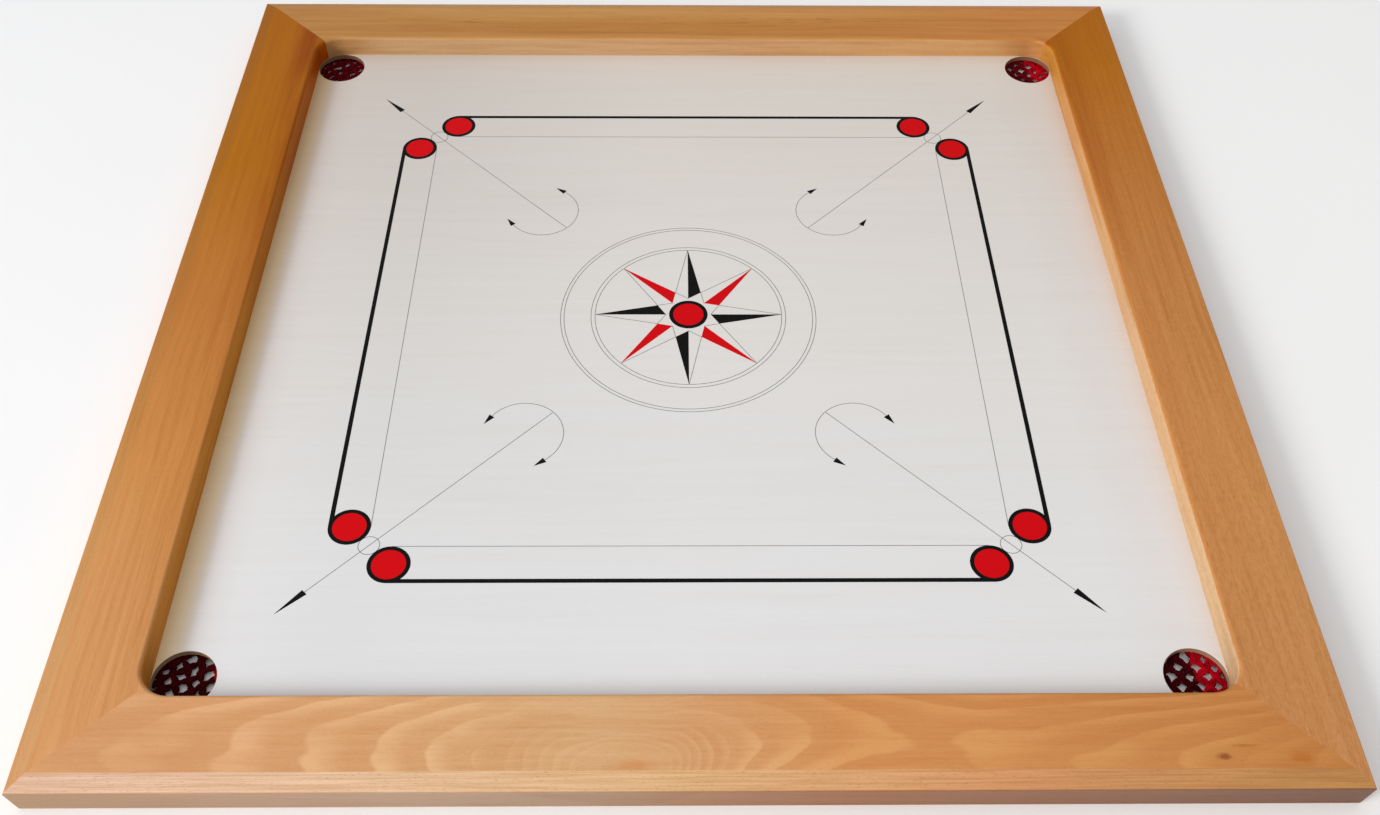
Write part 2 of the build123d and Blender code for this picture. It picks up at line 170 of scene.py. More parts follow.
class Tree:
    """A node tree, written as plain calls."""

    def __init__(self, node_tree):
        self.nodes = node_tree.nodes
        self.links = node_tree.links

    def put(self, socket, value):
        if isinstance(value, Value):
            self.links.new(value.socket, socket)
        else:
            socket.default_value = (*value, 1.0) if socket.type == "RGBA" else value

    def make(self, kind, inputs, output=0, **settings):
        node = self.nodes.new("ShaderNode" + kind)
        for key, setting in settings.items():
            setattr(node, key, setting)
        for key, value in inputs.items():
            self.put(node.inputs[key], value)
        return Value(self, node.outputs[output])

    def math(self, operation, *operands, clamp=False):
        inputs = dict(enumerate(operands))
        return self.make("Math", inputs, operation=operation, use_clamp=clamp)

    def coords(self):
        return self.make("TexCoord", {}, "Object")

    def attr(self, name):
        return self.make("Attribute", {}, "Fac", attribute_name=name)

    def normal_z(self):
        return self.make("NewGeometry", {}, "True Normal").split()[2]

    def vector(self, x, y, z):
        return self.make("CombineXYZ", {0: x, 1: y, 2: z})

    def streaks(self, x, y, x_rate, y_rate, offset, detail=2.0, rough=0.5):
        """Noise over x and y. The rates set how fine it is; offset picks a pattern."""
        return self.vector(x * x_rate, y * y_rate, offset).noise(detail, rough)

    def mix(self, amount, base, other, mode="MIX"):
        inputs = {"Factor": amount, 6: base, 7: other}
        return self.make("Mix", inputs, 2, data_type="RGBA", blend_type=mode)

    def shade(self, colour, by, amount=1.0):
        """colour multiplied by another."""
        return self.mix(amount, colour, by, "MULTIPLY")

    def bump(self, height, strength, distance):
        return self.make("Bump", {"Strength": strength, "Distance": distance, "Height": height})


class Surface(Tree):
    """A material built on one principled shader."""

    def __init__(self, name):
        self.material = bpy.data.materials.new(name)
        self.material.use_nodes = True
        super().__init__(self.material.node_tree)
        self.nodes.clear()
        out = self.nodes.new("ShaderNodeOutputMaterial")
        self.shader = self.nodes.new("ShaderNodeBsdfPrincipled")
        self.links.new(self.shader.outputs[0], out.inputs[0])

    def finish(self, **inputs):
        for key, value in inputs.items():
            self.put(self.shader.inputs[key.replace("_", " ")], value)
        return self.material


def srgb(*channels):
    """0-255 display colour to linear."""
    parts = [channel / 255.0 for channel in channels]
    return tuple(part / 12.92 if part <= 0.04045 else ((part + 0.055) / 1.055) ** 2.4
                 for part in parts)


# ================================================================ rail figure
# The front rail is flat-sawn: its rings show as flames. Columns: x in mm, value.
# Depth of the cut below the bark side, in mm
FLAME_DEPTH = [
    (-440, 46.5), (-405, 45), (-326, 42), (-260, 39), (-215, 36), (-175, 33), (-143, 30),
    (-120, 27), (-110, 24), (-100, 21), (-91, 18), (-80, 15), (-62, 9), (-46, 3), (-28, 9),
    (-13, 15), (-7, 18), (-1, 21), (6, 24), (14, 27), (25, 30), (44, 33), (79, 36), (144, 39),
    (157, 39.2), (169, 39), (244, 36), (301, 33), (344, 30), (388, 27), (440, 23)]
# y of the middle of the flames, in mm
FLAME_MIDDLE = [
    (-440, -409), (-326, -411), (-175, -412), (-143, -414), (-110, -418), (-46, -420),
    (0, -416), (25, -410), (44, -405), (79, -401), (110, -402), (144, -406), (169, -411),
    (244, -419), (301, -422), (440, -424)]
# Contrast of the pale bands
FLAME_STRENGTH = [
    (-440, 0.45), (-352, 0.50), (-328, 1.25), (-285, 1.25), (-260, 1.0), (-175, 1.0),
    (-146, 0.95), (-132, 0.40), (-90, 0.32), (-46, 0.30), (-15, 0.40), (0, 0.65), (25, 0.90),
    (44, 1.0), (90, 1.05), (144, 0.85), (200, 0.7), (300, 0.8), (440, 0.65)]
# Factor on the distance across the rail
FLAME_FLATTEN = [
    (-440, 0.5), (-120, 0.5), (-100, 0.58), (-80, 0.70), (-46, 0.87), (-10, 0.75),
    (25, 0.55), (44, 0.5), (440, 0.56)]
FLAME_RING_MM = 3.0


def flame_radius(x, y, z, field):
    """Distance in mm from the heart of the tree, which the rings follow."""
    depth, middle, flatten = (
        x.curve(points) for points in (FLAME_DEPTH, FLAME_MIDDLE, FLAME_FLATTEN))
    across = (y - middle) * flatten
    radius = (depth * depth + across * across).sqrt()
    radius = field(120.0, 42.0, detail=1.0, shift=3.1).push(radius, by=3.4)
    radius = field(34.0, 16.0, detail=1.0, shift=5.3).push(radius, by=1.0)
    # lower faces cut deeper into the same rings
    return (z - TOP_MM).mul_add(-0.55, radius)


def flame_contrast(pale, x, y, radius, worked, field):
    """The pale bands made patchy, and calmer near the heart and on worked faces."""
    patchy = field(70.0, 18.0, shift=57.0).fade(0.30, 0.62, low=0.25)
    pale = pale * patchy
    calm = radius.ease(11.0, 17.0, low=0.15) * x.curve(FLAME_STRENGTH)
    middle = (x + 30.0).abs().ease(130.0, 80.0)
    middle = middle * y.ease(-402.0, -388.0, high=0.65)
    calm = calm * (1.0 - middle)
    pale = pale * calm
    return pale * worked.mul_add(-0.82, 1.0)


def wavy_figure(tree, colour, light, dark, y, amount, field):
    """Short dark and pale waves, strongest near the front."""
    waves = field(7.5, 2.0, shift=41.0).ease(0.50, 0.62)
    near = y.fade(-250.0, 250.0, low=1.0, high=0.45)
    colour = tree.mix(waves * (near * amount), colour, dark)
    waves = field(5.0, 1.3, detail=1.0, shift=47.0).ease(0.56, 0.68)
    return tree.mix(waves * (near * (amount * 0.9)), colour, light)


def rail_wood(name, along, light, mid, dark, seed, fleck, tint, ring_mm=None, wavy=0.0,
              wall_painted_light=None, side=None, bevel_painted_light=None, bevel_lines=None, sheen=0.22):
    """Oiled solid beech. along is the grain axis and fleck the strength of the rays.
    Without ring_mm the board has the flame figure. tint(tree, x, y) shades the whole
    rail, and on the side rails it is painted light; the wall, side and bevel tables are
    painted light and shade by mm along the inner wall, the outside and the outer chamfer;
    bevel_lines holds the chamfer's pale and dark lines, whose colours carry a painted
    sheen at one end."""
    tree = Surface(name)
    x, y, z = tree.coords().scaled(1000.0).split()
    lengthwise, across = (x, y) if along == "X" else (y, x)

    def field(length, width, detail=2.0, rough=0.5, shift=0.0):
        """Noise stretched along the grain, with features of length by width in mm."""
        return tree.vector(lengthwise.mul_add(1.0 / length, seed + shift),
                           across * (1.0 / width), z * (1.0 / width)).noise(detail, rough)

    # which worked face of the section this is
    normal_z = tree.normal_z()
    upright = normal_z.abs().fade(0.75, 0.40)
    outer = across.abs().fade(398.0, 402.0)
    if bevel_painted_light or bevel_lines:
        is_bevel = normal_z.fade(0.993, 0.968) * normal_z.fade(0.55, 0.8) * outer

    slow = field(260.0, 60.0)
    if ring_mm:
        ring = slow.push(lengthwise.mul_add(0.012, across), by=34.0) / ring_mm
        ring = z.mul_add(0.07, ring)
    else:
        radius = flame_radius(x, y, z, field)
        ring = radius / FLAME_RING_MM
    within = ring.fract()
    per_ring = tree.vector(ring.floor() * 0.83, seed, 0.0).noise(detail=0.0)
    # each ring pales outwards and ends at a fine line
    pale = within.ease(0.30, 0.93) * within.fade(0.93, 1.0, low=1.0, high=0.0)
    if ring_mm:
        band, ring_change, streak_change = 0.10, 0.12, -0.75
    else:
        pale = flame_contrast(pale, x, y, radius, is_bevel.math("MAXIMUM", upright), field)
        band, ring_change, streak_change = per_ring.mul_add(0.5, 0.34), 0.30, -0.50

    fibre = field(28.0, 0.9, detail=3.0, rough=0.62, shift=9.0)
    streak = field(150.0, 5.5, detail=3.0, rough=0.6, shift=17.0)
    fine = field(60.0, 2.2, rough=0.55, shift=23.0)
    rays = field(3.2, 0.55, detail=1.0, rough=0.4, shift=31.0).ease(0.60, 0.74)
    tone = per_ring.push(pale * band, by=ring_change)
    tone = streak.push(tone, by=streak_change)
    tone = fine.push(tone, by=-0.40)
    tone = slow.push(tone, by=-0.5)
    colour = (tone + 0.38).ramp([(0.0, dark), (0.38, mid), (0.95, light)])
    if wavy:
        colour = wavy_figure(tree, colour, light, dark, y, wavy, field)
    colour = tree.mix(fibre.fade(0.40, 0.78) * 0.20, colour, dark)
    pores = field(6.0, 0.7, rough=0.6, shift=83.0).fade(0.52, 0.70)
    colour = tree.mix(pores * 0.22, colour, light)
    colour = tree.mix(rays * fleck, colour, srgb(128, 74, 38))

    # the tint; on the side rails it is painted light, lighter at the front and painted shade
    # towards the back
    colour = tree.shade(colour, tint(tree, x, y))
    # painted light and shade on the inner wall, the outer face and the outer chamfer
    if wall_painted_light:
        colour = tree.shade(colour, lengthwise.along(wall_painted_light), upright * (1.0 - outer))
    if side:
        colour = tree.shade(colour, lengthwise.along(side), upright * outer)
    if bevel_painted_light:
        colour = tree.shade(colour, lengthwise.along(bevel_painted_light), is_bevel)
    if bevel_lines:
        # fine straight lines where the chamfer runs along the grain
        lines = field(70.0, 1.0, detail=3.0, rough=0.6, shift=71.0).fade(0.36, 0.62)
        lines = tree.mix(lines, *(lengthwise.along(stops) for stops in bevel_lines))
        lines = tree.mix(rays * 0.35, lines, srgb(140, 88, 52))
        colour = tree.mix(is_bevel * 0.92, colour, lines)
    height = pale.mul_add(0.25, rays.mul_add(-0.6, fibre))
    return tree.finish(Base_Color=colour, Roughness=fibre.mul_add(0.14, 0.38),
                       Normal=tree.bump(height, strength=0.14, distance=0.0003),
                       Specular_IOR_Level=sheen)


# ================================================================= rail shades
# Shades are (mm along the rail, colour); tints multiply the wood's own colour. Several tables
# below are painted light and shade instead, as their comments say.
FRONT_SHADE = [
    (-440, (0.93, 0.82, 0.76)), (-340, (0.93, 0.82, 0.76)), (-270, (0.97, 0.90, 0.87)),
    (-200, (0.98, 0.95, 0.91)), (-60, (0.99, 1.05, 1.08)), (20, (0.97, 0.88, 0.80)),
    (100, (0.92, 0.71, 0.47)), (200, (0.905, 0.69, 0.44)), (330, (0.835, 0.615, 0.35)),
    (440, (0.78, 0.55, 0.27))]
# A resin-coloured patch and a short dark streak by the right-hand mitre:
# centre and radii in mm, tone, strength
FRONT_PATCHES = (
    ((391.0, -415.5), (9.0, 4.5), (0.92, 0.72, 0.40), 0.8),
    ((356.0, -407.0), (12.0, 1.4), (0.70, 0.52, 0.36), 0.6))
# Painted shade on the outer face of the front rail, deeper towards the right
FRONT_SIDE_PAINTED_LIGHT = [
    (-440, (0.63, 0.78, 1.0)), (-200, (0.68, 0.84, 1.28)), (0, (0.57, 0.57, 0.68)),
    (200, (0.47, 0.49, 0.82)), (440, (0.33, 0.37, 0.86))]
# The front chamfer's pale and dark lines; their paler, pinker left end is painted sheen
FRONT_BEVEL_PALE = [
    (-440, srgb(224, 188, 166)), (-380, srgb(224, 188, 165)), (-200, srgb(230, 194, 159)),
    (0, srgb(223, 180, 133)), (200, srgb(216, 154, 108)), (380, srgb(192, 142, 83)),
    (440, srgb(190, 138, 80))]
FRONT_BEVEL_DARK = [
    (-440, srgb(200, 161, 130)), (-380, srgb(200, 161, 129)), (-200, srgb(206, 168, 130)),
    (0, srgb(204, 159, 108)), (200, srgb(195, 134, 85)), (380, srgb(172, 119, 68)),
    (440, srgb(168, 115, 64))]
# Painted light along the left rail, by y: lighter with a painted sheen at the front, painted
# shade towards the back
LEFT_PAINTED_LIGHT = [
    (-440, (1.067, 1.124, 1.285)), (-340, (1.046, 1.098, 1.19)), (-170, (0.957, 0.905, 0.672)),
    (0, (0.798, 0.642, 0.342)), (170, (0.68, 0.499, 0.03)), (330, (0.65, 0.450, 0.03)),
    (440, (0.63, 0.43, 0.03))]
# Painted light and shade on the left rail's inner wall, with painted shade towards both corner
# pockets
LEFT_WALL_PAINTED_LIGHT = [
    (-440, (1.04, 0.79, 0.36)), (0, (1.34, 1.36, 0.40)), (290, (1.55, 1.35, 0.10)),
    (345, (1.40, 0.94, 0.10)), (440, (1.40, 0.94, 0.10))]
# Painted light along the right rail, by y: painted shade deepening towards the back
RIGHT_PAINTED_LIGHT = [
    (-440, (0.962, 0.90, 0.82)), (-340, (0.972, 0.917, 0.80)), (-170, (1.022, 0.945, 0.77)),
    (0, (0.984, 0.885, 0.66)), (170, (0.857, 0.672, 0.33)), (330, (0.742, 0.505, 0.04)),
    (440, (0.708, 0.466, 0.035))]
# Painted light on the right rail's inner wall, which faces the key light
RIGHT_WALL_PAINTED_LIGHT = [
    (-440, (1.17, 1.80, 2.95)), (0, (1.157, 1.70, 3.1)), (170, (1.362, 2.066, 4.37)),
    (300, (1.468, 2.24, 8.75)), (345, (1.46, 2.22, 15.8)), (440, (1.46, 2.22, 15.8))]
BACK_SHADE = [(-440, (0.92, 0.94, 0.75)), (0, (1.04, 1.0, 0.74)), (440, (1.12, 0.91, 0.60))]
# Painted light on the back rail's inner wall, with painted shade at both ends by the pockets
BACK_WALL_PAINTED_LIGHT = [
    (-440, (1.10, 1.2, 1.5)), (-348, (1.10, 1.2, 1.6)), (-310, (1.17, 1.52, 2.75)),
    (0, (1.16, 1.46, 2.75)), (310, (1.17, 1.60, 2.7)), (350, (1.10, 1.28, 1.8)),
    (440, (1.10, 1.28, 1.8))]
# Across the back rail, by y
BACK_BAND = [
    (370, (1.0, 1.0, 1.0)), (385, (0.95, 0.92, 0.82)), (394, (0.92, 0.88, 0.74)),
    (402, (1.0, 1.0, 0.98)), (411, (1.04, 1.12, 1.28)), (419, (1.02, 1.08, 1.2)),
    (430, (0.97, 1.06, 1.25))]


def ellipse(x, y, centre, radii):
    """Distance from centre that is 1 on the ellipse with these radii."""
    over_x = (x - centre[0]) / radii[0]
    over_y = (y - centre[1]) / radii[1]
    return (over_x * over_x + over_y * over_y).sqrt()


def front_tint(tree, x, y):
    """Darker and browner towards the right-hand end; a small knot near it."""
    knot = ellipse(x, y, centre=(341.0, -414.5), radii=(6.0, 3.0))
    wobble = tree.streaks(x, y, x_rate=0.25, y_rate=0.5, offset=3.0)
    knot = wobble.push(knot, by=0.9).ease(1.2, 0.2)
    shade = x.along(FRONT_SHADE)
    # the heart of the flames is a warmer orange
    heart = ellipse(x, y, centre=(-37.0, -419.0), radii=(16.0, 5.0)).ease(1.2, 0.1)
    shade = tree.mix(heart * 0.7, shade, (0.97, 0.78, 0.62))
    for centre, radii, tone, strength in FRONT_PATCHES:
        patch = wobble.push(ellipse(x, y, centre, radii), by=1.1)
        patch = patch.ease(1.2, 0.3, high=strength)
        shade = tree.mix(patch, shade, tree.shade(shade, tone))
    return tree.mix(knot, shade, (0.46, 0.24, 0.13))


def side_light_and_tint(stops, inner, corner=None):
    """Painted light on a side rail: stops, by y, are painted light, lighter at the front and
    painted shade towards the back, with a painted sheen at the front of the left rail. The
    wood also deepens in streaks along the edge by the field, more towards the back. corner
    is a darker patch where that edge meets the back rail."""
    def tint(tree, x, y):
        back = y.fade(-430.0, 300.0)
        edge = x.abs().ease(400.0, 374.0)
        streak = tree.streaks(x, y, x_rate=0.09, y_rate=0.006, offset=0.0,
                              detail=3.0, rough=0.6)
        edge = edge * back * streak.fade(0.35, 0.65, low=0.2)
        # painted light along the rail, deepened by the wood's streaks by the field
        shade = tree.shade(y.along(stops), inner, edge)
        if corner:
            deep = x.abs().ease(396.0, 376.0) * x.abs().fade(368.5, 371.5)
            shade = tree.shade(shade, corner, deep * y.ease(285.0, 345.0))
        return shade
    return tint


def back_tint(tree, x, y):
    """A few dark mineral streaks along the middle of the back rail."""
    shade = x.along(BACK_SHADE)
    # paler along the back, warmer along the middle, except towards the ends
    drift = tree.streaks(x, y, x_rate=0.009, y_rate=0.02, offset=8.0)
    band = drift.push(y, by=14.0).along(BACK_BAND)
    inside_ends = x.ease(330.0, 150.0) * x.ease(-330.0, -240.0)
    shade = tree.shade(shade, band, inside_ends)
    streak = tree.streaks(x, y, x_rate=0.030, y_rate=0.42, offset=5.0)
    zone = (x - -40.0).abs().ease(330.0, 180.0) * (y - 400.0).abs().ease(9.0, 4.0)
    return tree.mix(streak.ease(0.60, 0.70, high=0.75) * zone, shade, (0.50, 0.38, 0.26))


# ============================================================= other materials
# Painted light and shade on the playing face, by y and by x in mm: painted falloff towards the
# back, a painted warm shadow along the left wall and a cooler strip by the right wall
FACE_PAINTED_LIGHT_BY_Y = [
    (-380, (0.99, 1.03, 1.09)), (-330, (0.99, 1.03, 1.09)), (-50, (0.97, 0.98, 1.0)),
    (200, (0.93, 0.91, 0.895)), (380, (0.90, 0.86, 0.82))]
FACE_PAINTED_LIGHT_BY_X = [
    (-380, (1.05, 0.86, 0.52)), (-366, (1.05, 0.86, 0.52)), (-357, (1.06, 0.89, 0.60)),
    (-346, (1.10, 1.06, 1.04)), (-330, (0.97, 0.97, 0.97)), (-250, (0.93, 0.94, 0.945)),
    (0, (1.0, 1.0, 1.0)), (300, (1.015, 1.015, 1.01)), (332, (0.99, 0.975, 0.965)),
    (380, (0.96, 0.92, 0.91))]


def plywood_edge(tree, position, y, z):
    """Cross-laid veneers with thin glue lines: the colour and its coarse grain."""
    ply = (z - (SURFACE_MM - PLY_MM) * MM) * (1.0 / (VENEER_MM * MM))
    ply = ply + (position.scaled(160.0, 160.0, 0.0).noise(detail=1.0) - 0.5) * 0.14
    odd = ply.floor().math("MODULO", 2.0)
    glue = (ply.fract() - 0.5).abs().ease(0.42, 0.50)
    coarse = position.scaled(900.0, 900.0, 500.0).noise(detail=3.0, rough=0.65)
    long_fibre = position.scaled(90.0, 90.0, 2600.0).noise()
    edge = tree.mix(odd, srgb(196, 168, 132), srgb(142, 108, 76))
    edge = tree.mix(coarse * 0.5, edge, srgb(112, 84, 58))
    edge = tree.mix(long_fibre * 0.3, edge, srgb(205, 180, 146))
    edge = tree.mix(glue * 0.8, edge, srgb(62, 42, 30))
    darker_back = (y * 1000.0).along([(-340, (1.0, 1.0, 1.0)), (340, (0.66, 0.50, 0.46))])
    return tree.shade(edge, darker_back), coarse


def paint_face_light(tree, face, x, y):
    """Painted light on the face: painted falloff towards the back, a painted warm shadow at the
    left edge, and duller towards the back left.
    """
    mm_y = y * 1000.0
    mm_x = x * 1000.0
    face = tree.shade(face, mm_y.along(FACE_PAINTED_LIGHT_BY_Y))
    face = tree.shade(face, mm_x.along(FACE_PAINTED_LIGHT_BY_X))
    back_left = mm_x.fade(-60.0, -300.0) * mm_y.fade(-200.0, 340.0)
    return tree.shade(face, (0.90, 0.88, 0.875), back_left)


def birch_panel(name):
    """Lacquered birch face with its plywood edge and a plain veneer underside."""
    tree = Surface(name)
    position = tree.coords()
    x, y, z = position.split()
    slow = tree.streaks(x, y, x_rate=2.2, y_rate=7.0, offset=2.0, detail=3.0, rough=0.55)
    wander = tree.streaks(x, y, x_rate=6.0, y_rate=30.0, offset=7.0)
    vein = tree.vector(x * 4.0, y * 120.0 + wander * 2.4, 1.0).noise(detail=4.0, rough=0.6)
    fibre = tree.streaks(x, y, x_rate=45.0, y_rate=1100.0, offset=3.0, rough=0.6)
    pore = tree.streaks(x, y, x_rate=260.0, y_rate=2200.0, offset=4.0, detail=1.0)
    face = (vein * 0.65 + slow * 0.35).ramp([
        (0.30, srgb(231, 228, 225)), (0.52, srgb(229, 225, 221)), (0.72, srgb(226, 221, 215))])
    face = tree.mix(fibre.fade(0.4, 0.8) * 0.07, face, srgb(206, 196, 182))
    face = tree.mix(pore.fade(0.66, 0.74) * 0.12, face, srgb(182, 166, 148))
    face = paint_face_light(tree, face, x, y)
    edge, coarse = plywood_edge(tree, position, y, z)
    under = vein.ramp([(0.3, srgb(214, 190, 152)), (0.7, srgb(190, 160, 118))])
    under = tree.mix(pore.fade(0.62, 0.74) * 0.35, under, srgb(140, 108, 74))

    normal_z = tree.normal_z()
    is_edge = normal_z.abs().fade(0.55, 0.35)
    below = normal_z.fade(-0.5, -0.6)
    colour = tree.mix(below, face, under)
    colour = tree.mix(is_edge, colour, edge)
    rough = 0.30 + fibre * 0.08
    rough = rough + is_edge.math("MAXIMUM", below) * 0.35
    height = fibre * 0.5 + vein * 0.5
    height = height + is_edge * coarse * 2.0
    return tree.finish(Base_Color=colour, Roughness=rough, Specular_IOR_Level=0.45,
                       Normal=tree.bump(height, strength=0.10, distance=0.0004))


def ink(name, colour, speck):
    """Silk-screened ink under lacquer: even colour broken by fine grain show-through."""
    tree = Surface(name)
    x, y, _ = tree.coords().split()
    grain = tree.streaks(x, y, x_rate=60.0, y_rate=1200.0, offset=3.0, rough=0.6)
    screen = tree.streaks(x, y, x_rate=1500.0, y_rate=1500.0, offset=0.0, detail=1.0)
    cloud = tree.streaks(x, y, x_rate=40.0, y_rate=40.0, offset=0.0)
    colour = tree.mix(grain.fade(0.45, 0.8) * 0.30, colour, speck)
    colour = tree.mix(screen.fade(0.62, 0.78) * 0.25, colour, speck)
    colour = tree.mix(cloud * 0.12, colour, speck)
    return tree.finish(Base_Color=colour, Roughness=0.34 + grain * 0.10,
                       Normal=tree.bump(grain + screen, strength=0.10, distance=0.0002),
                       Specular_IOR_Level=0.08)


def painted_cord_light(position):
    """Painted light on the nets: 1 where the cord is painted as lit by the key light, the
    right-hand part of the right-hand nets and a sliver of the left-hand ones, 0 where it is
    painted as in shade. Also the sign of y, +1 at the back."""
    x, y, _ = position.scaled(1000.0).split()
    right = x.math("SIGN")
    back = y.math("SIGN")
    # place within the pocket, in mm
    pocket_x = right.mul_add(-POCKET_MM, x)
    pocket_y = back.mul_add(-POCKET_MM, y)
    ragged = position.scaled(130.0).noise() - 0.5
    pocket_x = pocket_y.mul_add(0.18, pocket_x) + ragged * 14.0
    edge = right.mul_add(-8.0, 11.0)
    return (pocket_x - edge).ease(-1.5, 3.0), back


def net_cord(name):
    """Twisted cotton cord, drawn from the turn, run and tint stored on the mesh."""
    tree = Surface(name)
    position = tree.coords()
    turn, run, tint = tree.attr("turn"), tree.attr("run"), tree.attr("tint")
    # yarns wind round the strand: diagonal lines in (turn, run)
    lay = turn * 3.0 + run * 620.0
    yarn = (lay.fract() - 0.5).abs() * 2.0
    fuzz = position.scaled(4200.0).noise(rough=0.7)
    # painted shaded and lit copies of the red cord, picked by the painted light mask
    worn = position.scaled(160.0).noise() * 0.6 + tint * 0.4
    painted_shade_red = worn.ramp([(0.2, srgb(46, 0, 4)), (0.55, srgb(62, 0, 6)), (0.85, srgb(84, 0, 9))])
    painted_lit_red = worn.ramp([
        (0.2, srgb(132, 0, 14)), (0.55, srgb(186, 0, 24)), (0.85, srgb(216, 4, 34))])
    lit, back = painted_cord_light(position)
    # the nets at the back are paler
    painted_shade_red = tree.mix(back.fade(-1.0, 1.0, high=0.40), painted_shade_red, srgb(126, 2, 20))
    colour = tree.mix(lit, painted_shade_red, painted_lit_red)
    # painted shade in the grooves between the yarns, in lit and shaded copies
    groove_painted_shade = tree.mix(lit, srgb(20, 0, 3), srgb(96, 0, 12))
    colour = tree.mix(yarn.ease(0.55, 1.0) * 0.55, colour, groove_painted_shade)
    # the fuzz also has painted lit and shaded copies
    fluff = tree.mix(lit, srgb(104, 2, 10), srgb(230, 20, 40))
    colour = tree.mix(fuzz.fade(0.5, 0.8) * 0.2, colour, fluff)
    height = (1.0 - yarn) + fuzz * 0.35
    return tree.finish(Base_Color=colour, Roughness=0.76 + fuzz * 0.2,
                       Normal=tree.bump(height, strength=0.55, distance=0.0005),
                       Specular_IOR_Level=0.06)


def net_tape(name):
    """Woven cotton tape round the mouth of each net."""
    tree = Surface(name)
    position = tree.coords()
    warp, weft = ((tree.attr(key) * (2 * math.pi)).math("SINE") for key in ("turn", "run"))
    weave = warp * weft
    fuzz = position.scaled(3000.0).noise(rough=0.7)
    lit, _ = painted_cord_light(position)
    # painted lit and shaded copies of the tape's weave, picked by the painted light mask
    colour = tree.mix(weave.fade(-0.8, 0.8),
                      tree.mix(lit, srgb(30, 0, 3), srgb(100, 0, 12)),
                      tree.mix(lit, srgb(66, 0, 7), srgb(168, 0, 22)))
    colour = tree.mix(fuzz * 0.2, colour, srgb(110, 8, 14))
    return tree.finish(Base_Color=colour, Roughness=0.75 + fuzz * 0.15,
                       Normal=tree.bump(weave + fuzz, strength=0.5, distance=0.0003),
                       Specular_IOR_Level=0.06)


def plain_wood(name, along, light, dark, seed, ring_mm=3.0):
    """Planed softwood or pressed beech for the hidden pieces."""
    tree = Surface(name)
    x, y, z = tree.coords().split()
    lengthwise, across = (x, y) if along == "X" else (y, x)
    wander = tree.streaks(lengthwise, across, 4.0, 20.0, offset=seed)
    ring = across * (1000.0 / ring_mm) + wander * 5.0
    band = ring.fract().math("POWER", 3.0)
    fibre = tree.vector(lengthwise * 30.0, across * 900.0, z * 900.0).noise(3.0, rough=0.6)
    colour = tree.mix(band, light, dark)
    colour = tree.mix(fibre * 0.25, colour, dark)
    return tree.finish(Base_Color=colour, Roughness=0.55 + fibre * 0.2,
                       Normal=tree.bump(band + fibre, strength=0.2, distance=0.0004))


def plated(name, colour, tarnish, rough):
    """Plated metal with handling marks and a little tarnish."""
    tree = Surface(name)
    position = tree.coords()
    blot = position.scaled(700.0).noise(detail=3.0, rough=0.6)
    scratch = position.scaled(6000.0, 500.0, 6000.0).noise(rough=0.6)
    colour = tree.mix(blot.fade(0.45, 0.75), colour, tarnish)
    return tree.finish(Base_Color=colour, Metallic=1.0, Roughness=rough + blot * 0.22,
                       Normal=tree.bump(scratch, strength=0.12, distance=0.0001))


